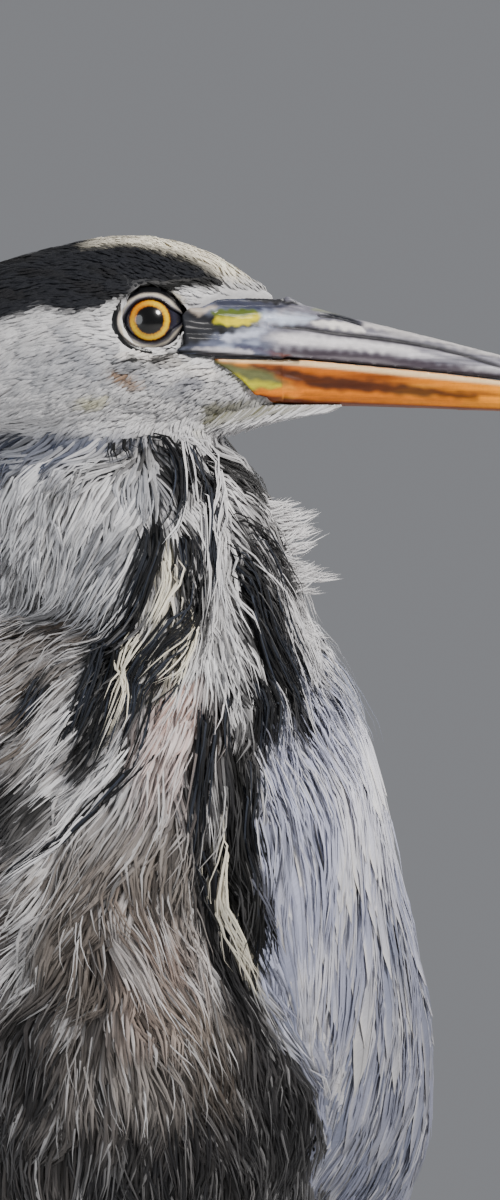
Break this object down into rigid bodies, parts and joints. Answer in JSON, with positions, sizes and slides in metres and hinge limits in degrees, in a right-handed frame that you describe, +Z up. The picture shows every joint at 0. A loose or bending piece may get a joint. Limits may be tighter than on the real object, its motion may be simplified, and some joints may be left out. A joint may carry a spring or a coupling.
{
  "type": "grey heron",
  "caption": "Life-size still grey heron standing hunched, neck folded on the breast, head turned square to its left, long bill level and wings closed.",
  "frame": {"origin": "on the floor, below the middle of the whole bird's box", "axes": "+Z up; the breast faces -Y, the tail is towards +Y, and the bill points along +X, the bird's left"},
  "size_m": [0.2638, 0.346, 0.6143],
  "materials": {
    "body_feathers": "soft matt plumage, white to ash grey with black streaks",
    "wing_feathers": "soft matt grey vanes with pale edges",
    "quill_feathers": "smooth black vanes with a faint sheen",
    "bill_horn": "satin grey horn",
    "bill_orange": "satin orange horn with brown along it",
    "eye_glass": "wet gloss, amber iris round a black pupil",
    "leg_scales": "dry scaly skin, olive brown",
    "claw_horn": "satin black horn"
  },
  "bodies": {
    "root": {"bill_lower": "bill_orange", "bill_upper": "bill_horn", "breast": "body_feathers", "claw_left_hind": "claw_horn", "claw_left_inner": "claw_horn", "claw_left_middle": "claw_horn", "claw_left_outer": "claw_horn", "claw_right_hind": "claw_horn", "claw_right_inner": "claw_horn", "claw_right_middle": "claw_horn", "claw_right_outer": "claw_horn", "crest_plume_left": "quill_feathers", "crest_plume_right": "quill_feathers", "eye_left": "eye_glass", "eye_right": "eye_glass", "foot_left": "leg_scales", "foot_right": "leg_scales", "head": "body_feathers", "heel_left": "leg_scales", "heel_right": "leg_scales", "neck_lower": "body_feathers", "neck_upper": "body_feathers", "rump": "body_feathers", "shank_left": "leg_scales", "shank_right": "leg_scales", "tail": "wing_feathers", "tarsus_left": "leg_scales", "tarsus_right": "leg_scales", "thigh_left": "body_feathers", "thigh_right": "body_feathers", "wing_left": "wing_feathers", "wing_right": "wing_feathers", "wing_tip_left": "quill_feathers", "wing_tip_right": "quill_feathers"}
  },
  "joints": []
}
